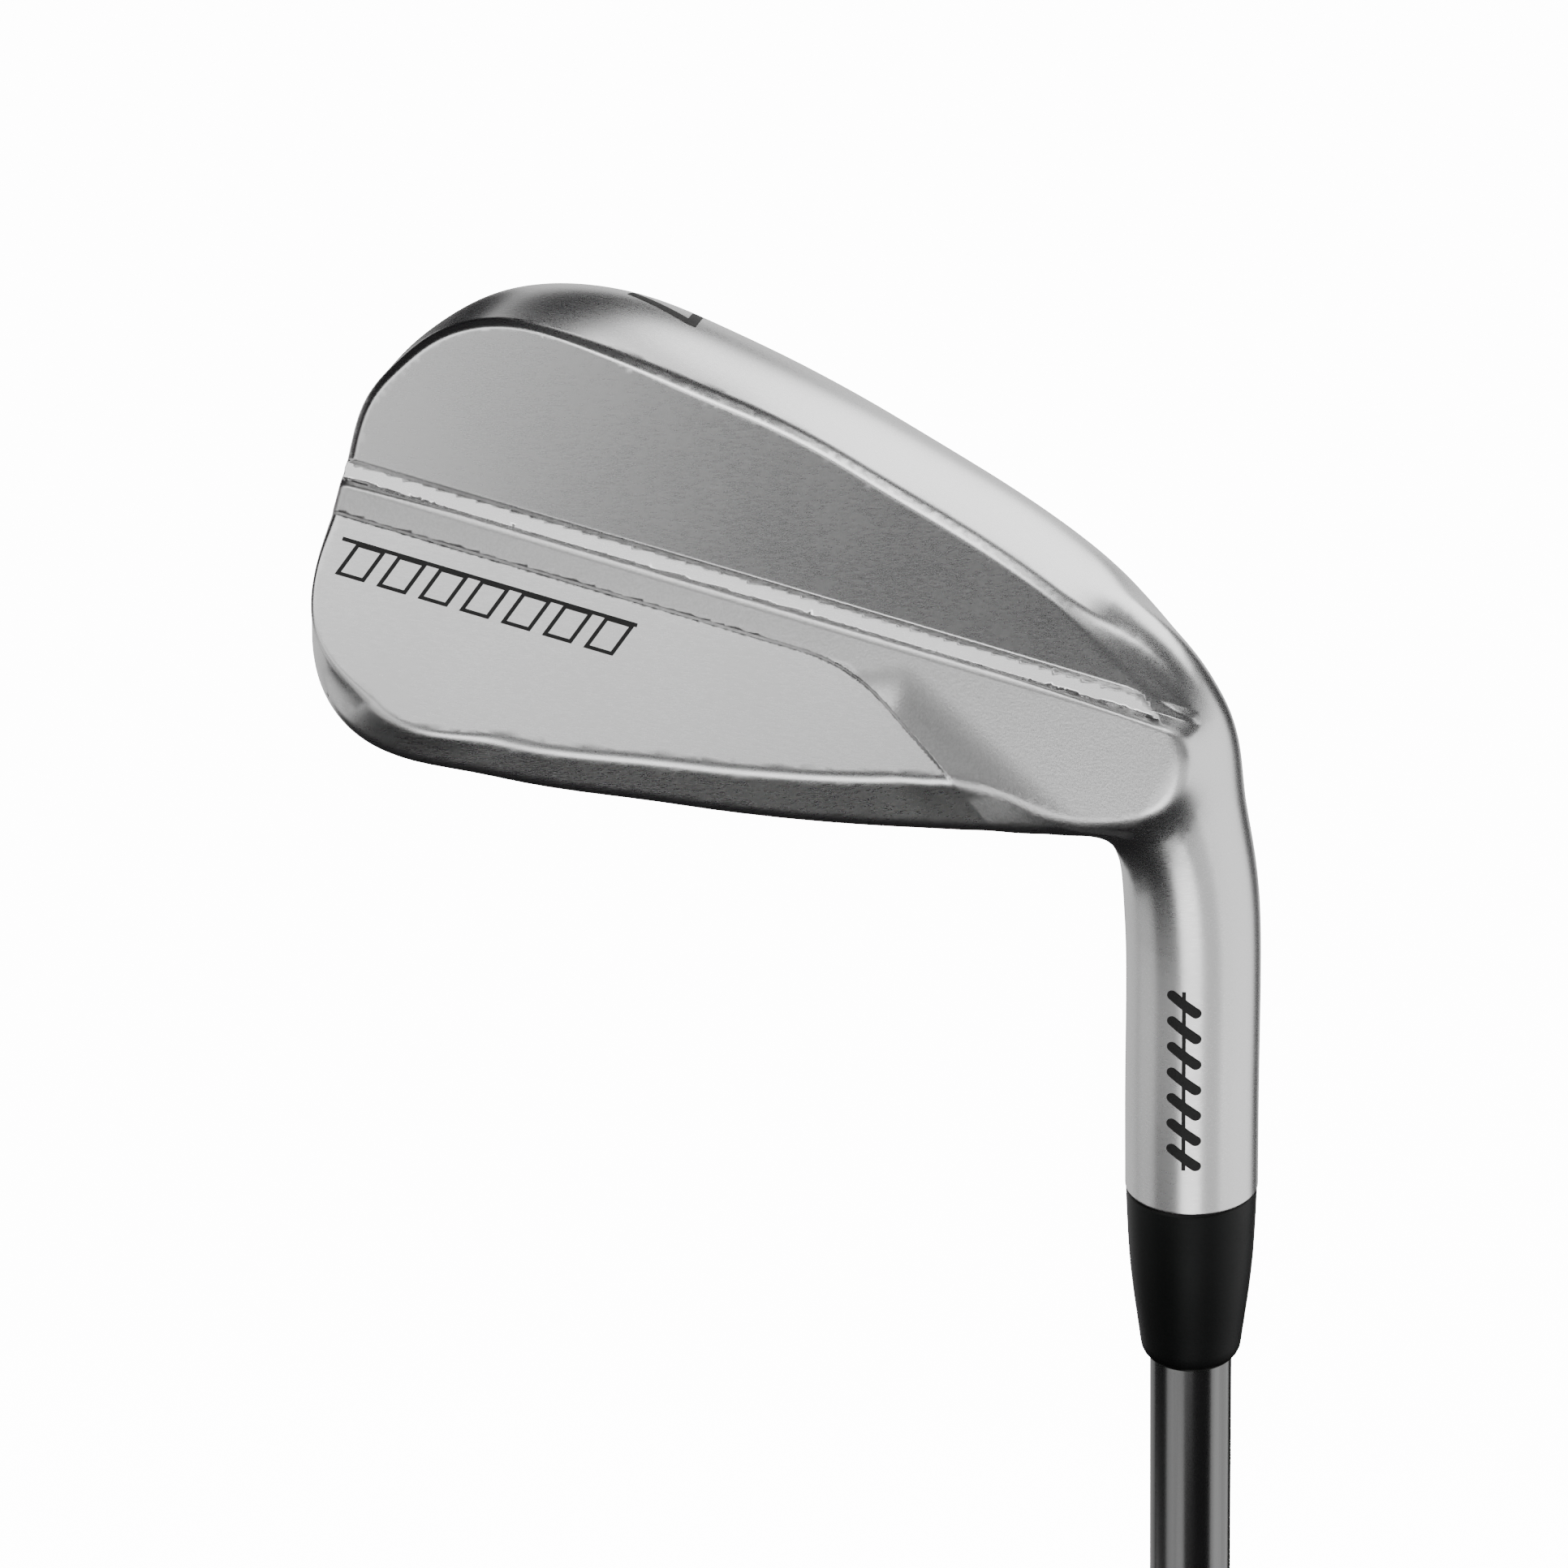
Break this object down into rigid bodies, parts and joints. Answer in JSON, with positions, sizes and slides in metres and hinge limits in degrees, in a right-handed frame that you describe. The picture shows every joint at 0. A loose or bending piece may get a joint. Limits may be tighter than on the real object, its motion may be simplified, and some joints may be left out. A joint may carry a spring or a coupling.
{
  "type": "iron golf club",
  "caption": "Right-hand 7 iron with a hollow forged steel head, stepped steel shaft, black ferrule and rubber grip, stored grip down.",
  "frame": {"origin": "centre of the grip cap's outer face, on the shaft axis", "axes": "+Z along the shaft from the grip to the head; -X from the heel towards the toe; -Y out of the back of the blade, +Y on the striking side"},
  "size_m": [0.1056, 0.0389, 0.9699],
  "materials": {
    "satin_steel": "satin",
    "face_steel": "milled",
    "shaft_chrome": "polished",
    "paint_black": "paint fill",
    "ferrule_black": "semi-gloss",
    "grip_rubber": "matte",
    "weight_metal": "plain",
    "core_polymer": "plain",
    "bond_resin": "plain",
    "tape_paper": "plain"
  },
  "bodies": {
    "root": {"head_body": "satin_steel", "face_plate": "face_steel", "toe_weight": "weight_metal", "damping_core": "core_polymer", "back_mark_fill": "paint_black", "sole_number_fill": "paint_black", "hosel_mark_fill": "paint_black", "bore_plug": "satin_steel", "shaft": "shaft_chrome", "tip_plug": "core_polymer", "epoxy_bond": "bond_resin", "ferrule": "ferrule_black", "grip_tape": "tape_paper", "grip_sleeve": "grip_rubber", "grip_cap": "grip_rubber"}
  },
  "joints": []
}
